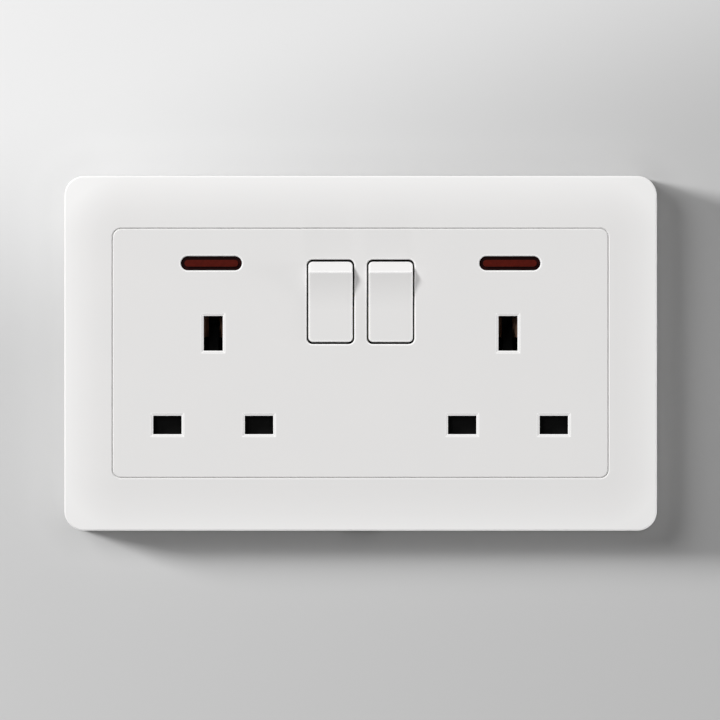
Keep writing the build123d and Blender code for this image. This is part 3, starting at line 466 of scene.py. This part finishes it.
bandedCoat = bandedFinish()
left = Vector((-1, 0, 0))
for side in sides:
    lampMid, lampHalf, lampRadius = boxOf(f"neon_lamp_{side}")
    glass = newPiece(f"lampBulb_{side}", bulb(lampMid, lampHalf, lampRadius), "lamp_glass", "housing")
    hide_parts(f"neon_lamp_{side}")

    coatMid, coatHalf, coatRadius = boxOf(f"resistor_{side}")
    profile = [(share * coatHalf, width * coatRadius) for share, width in coatLook["profile"]]
    outline = [(-along, radius) for along, radius in profile] + profile[::-1]
    shape = bmesh.new()
    turned(shape, coatMid, outline, lampLook["facets"])
    coat = newPiece(f"resistorBody_{side}", shape, "resistor_coat", "housing")
    coat.data.materials[0] = bandedCoat
    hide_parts(f"resistor_{side}")

    # electrodes, and the leads from the bulb's foot to the resistor and down to the yoke
    coatGrip = left * (coatHalf - leadLook["inCoat"])
    for name, way in (("upper", 1), ("lower", -1)):
        rise = Vector((0, 0, way * lampLook["rodGap"]))
        rod = lampLook["rod"]
        outline = [(lampLook["rodFoot"] - lampHalf, rod), (lampLook["rodEnd"] * lampHalf, rod),
                   (lampLook["rodTip"] * lampHalf, lampLook["rodTaper"] * rod)]
        shape = bmesh.new()
        turned(shape, lampMid + rise, outline, lampLook["rodFacets"])
        newPiece(f"electrode_{name}_{side}", shape, "zinc", "housing")
        start = lampMid + left * (lampHalf - leadLook["inBulb"]) + rise
        bend = lampMid + left * (lampHalf + leadLook["out"]) + rise
        if way > 0:
            turn = bend + left * leadLook["aside"]
            path = [start, bend, turn] + dropTo(turn)
        else:
            end = coatMid + coatGrip
            path = [start, bend, Vector((bend.x, end.y, end.z)), end]
        wirePiece(f"lead_{name}_{side}", path)
    end = coatMid - coatGrip
    path = [end, end - left * leadLook["out"]] + dropTo(end - left * leadLook["farDrop"])
    wirePiece(f"lead_far_{side}", path)
print("indicator lamps fitted")


# wall behind the plate: painted, open behind the yoke, clear from behind so that the back can be seen
# its paint is darker along the fall from start to end as a painted falloff of light, and painted darker close to
# the plate as shade
wallLook = dict(size=6.0, y=0.2 * mm, room=1.0 * mm, rough=0.85, shine=0.2,
                light=(0.765, 0.765, 0.765), dark=(0.55, 0.55, 0.55), fall=(0.3, 0, -0.954),
                start=-0.085, end=-0.02, paintedPlateShade=0.9, paintedShadeReach=9.0 * mm, corner=6.0 * mm)


def paintWall():
    look = wallLook
    finish = bpy.data.materials.new("wallPaint")
    finish.use_nodes = True
    tree = finish.node_tree
    link = tree.links.new
    shader = tree.nodes["Principled BSDF"]
    shader.inputs["Roughness"].default_value = look["rough"]
    shader.inputs["Specular IOR Level"].default_value = look["shine"]
    point = tree.nodes.new("ShaderNodeTexCoord").outputs["Object"]
    # painted light: lighter at the top, darker along the fall, down and to the right
    along = figure(tree, "DOT_PRODUCT", point, look["fall"], kind="VectorMath")
    share = spread(tree, along, (look["start"], look["end"]), shape="SMOOTHSTEP")
    tint = blendColour(tree, share, look["light"], look["dark"])
    # way from the plate's outline, whose corners are round
    axes = splitAxes(tree, point)
    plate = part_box("outer_frame")[1]
    gaps = []
    for axis, half in (("X", plate.x), ("Z", plate.z)):
        gap = figure(tree, "SUBTRACT", figure(tree, "ABSOLUTE", axes[axis]), half - look["corner"])
        gaps.append(figure(tree, "POWER", figure(tree, "MAXIMUM", gap, 0), 2))
    away = figure(tree, "SQRT", figure(tree, "ADD", *gaps))
    # painted shade on the wall, darker close to the plate
    ends = (look["corner"], look["corner"] + look["paintedShadeReach"])
    paintedPlateShade = spread(tree, away, ends, (look["paintedPlateShade"], 1), shape="SMOOTHSTEP")
    paintedShadeColour = tree.nodes.new("ShaderNodeVectorMath")
    paintedShadeColour.operation = "SCALE"
    link(tint, paintedShadeColour.inputs[0])
    link(paintedPlateShade, paintedShadeColour.inputs["Scale"])
    link(paintedShadeColour.outputs["Vector"], shader.inputs["Base Color"])
    clear = tree.nodes.new("ShaderNodeBsdfTransparent")
    face = tree.nodes.new("ShaderNodeNewGeometry")
    pick = tree.nodes.new("ShaderNodeMixShader")
    link(face.outputs["Backfacing"], pick.inputs["Fac"])
    link(shader.outputs["BSDF"], pick.inputs[1])
    link(clear.outputs["BSDF"], pick.inputs[2])
    link(pick.outputs["Shader"], tree.nodes["Material Output"].inputs["Surface"])
    return finish


shape = bmesh.new()
half = wallLook["size"] / 2
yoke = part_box("mounting_yoke")[1]
rings = []
for wide, tall in ((half, half), (yoke.x + wallLook["room"], yoke.z + wallLook["room"])):
    rings.append([shape.verts.new((x * wide, wallLook["y"], z * tall))
                  for x, z in ((-1, -1), (1, -1), (1, 1), (-1, 1))])
skin(shape, rings)
mesh = bpy.data.meshes.new("wall")
shape.to_mesh(mesh)
shape.free()
mesh.materials.append(paintWall())
wall = bpy.data.objects.new("wall", mesh)
scene.collection.objects.link(wall)


# lamps for the socket and for the wall apart, so that the wall keeps its deep shadow
# two of them are for the back
lamps = {
    "key": dict(place=(-2.32, -2.24, 2.24), size=1.28, power=140.0, lights="socket"),
    "front": dict(place=(-0.5, -1.6, 0.35), size=0.25, power=5.3, lights="socket"),
    "rightEdge": dict(place=(1.1, -0.06, -0.1), size=0.3, power=7.0, lights="socket"),
    "lowerEdge": dict(place=(0.1, -0.06, -1.1), size=0.3, power=5.0, lights="socket"),
    "wallSide": dict(place=(-1.66, -0.535, 0.5), size=0.42, power=57.0, lights="wall"),
    "wallTop": dict(place=(-1.09, -1.12, 0.67), size=0.8, power=11.0, lights="wall"),
    "backLeft": dict(place=(-0.9, 1.1, 0.7), size=0.8, power=14.0, lights="socket"),
    "backRight": dict(place=(1.0, 1.2, 0.5), size=0.8, power=14.0, lights="socket"),
}
groups = {}
for group, state in (("socket", "EXCLUDE"), ("wall", "INCLUDE")):
    groups[group] = bpy.data.collections.new(f"{group}Lit")
    groups[group].objects.link(wall)
    groups[group].collection_objects[0].light_linking.link_state = state
for name, look in lamps.items():
    lamp = bpy.data.lights.new(name, "AREA")
    lamp.shape = "DISK"
    lamp.size = look["size"]
    lamp.energy = look["power"]
    holder = bpy.data.objects.new(name, lamp)
    holder.location = look["place"]
    holder.rotation_euler = (-Vector(look["place"])).to_track_quat("-Z", "Y").to_euler()
    holder.visible_camera = False
    holder.light_linking.receiver_collection = groups[look["lights"]]
    scene.collection.objects.link(holder)

# even glow from all round, seen as a grey studio
skyLook = dict(seen=(0.72, 0.72, 0.72), glow=0.24)
sky = bpy.data.worlds.new("studio")
scene.world = sky
sky.use_nodes = True
tree = sky.node_tree
tree.nodes.clear()
glow = tree.nodes.new("ShaderNodeBackground")
glow.inputs["Color"].default_value = (1, 1, 1, 1)
glow.inputs["Strength"].default_value = skyLook["glow"]
seen = tree.nodes.new("ShaderNodeBackground")
seen.inputs["Color"].default_value = (*skyLook["seen"], 1)
ray = tree.nodes.new("ShaderNodeLightPath")
viewed = figure(tree, "MAXIMUM", ray.outputs["Is Camera Ray"], ray.outputs["Is Glossy Ray"])
viewed = figure(tree, "MAXIMUM", viewed, ray.outputs["Is Transmission Ray"])
mix = tree.nodes.new("ShaderNodeMixShader")
out = tree.nodes.new("ShaderNodeOutputWorld")
tree.links.new(viewed, mix.inputs["Fac"])
tree.links.new(glow.outputs["Background"], mix.inputs[1])
tree.links.new(seen.outputs["Background"], mix.inputs[2])
tree.links.new(mix.outputs["Shader"], out.inputs["Surface"])

# straight-on camera with a long lens
viewLook = dict(lens=400.0, sensor=36, clip=0.01, across=174.6 * mm, front=9.5 * mm,
                aimX=-0.15 * mm, aimZ=-1.62 * mm)
camera = bpy.data.cameras.new("camera")
camera.lens = viewLook["lens"]
camera.sensor_fit = "HORIZONTAL"
camera.sensor_width = viewLook["sensor"]
camera.clip_start = viewLook["clip"]
eye = bpy.data.objects.new("camera", camera)
away = viewLook["across"] * viewLook["lens"] / viewLook["sensor"]
eye.location = (viewLook["aimX"], -viewLook["front"] - away, viewLook["aimZ"])
eye.rotation_euler = (pi / 2, 0, 0)
scene.collection.objects.link(eye)
scene.camera = eye
print("wall, lamps and camera set")
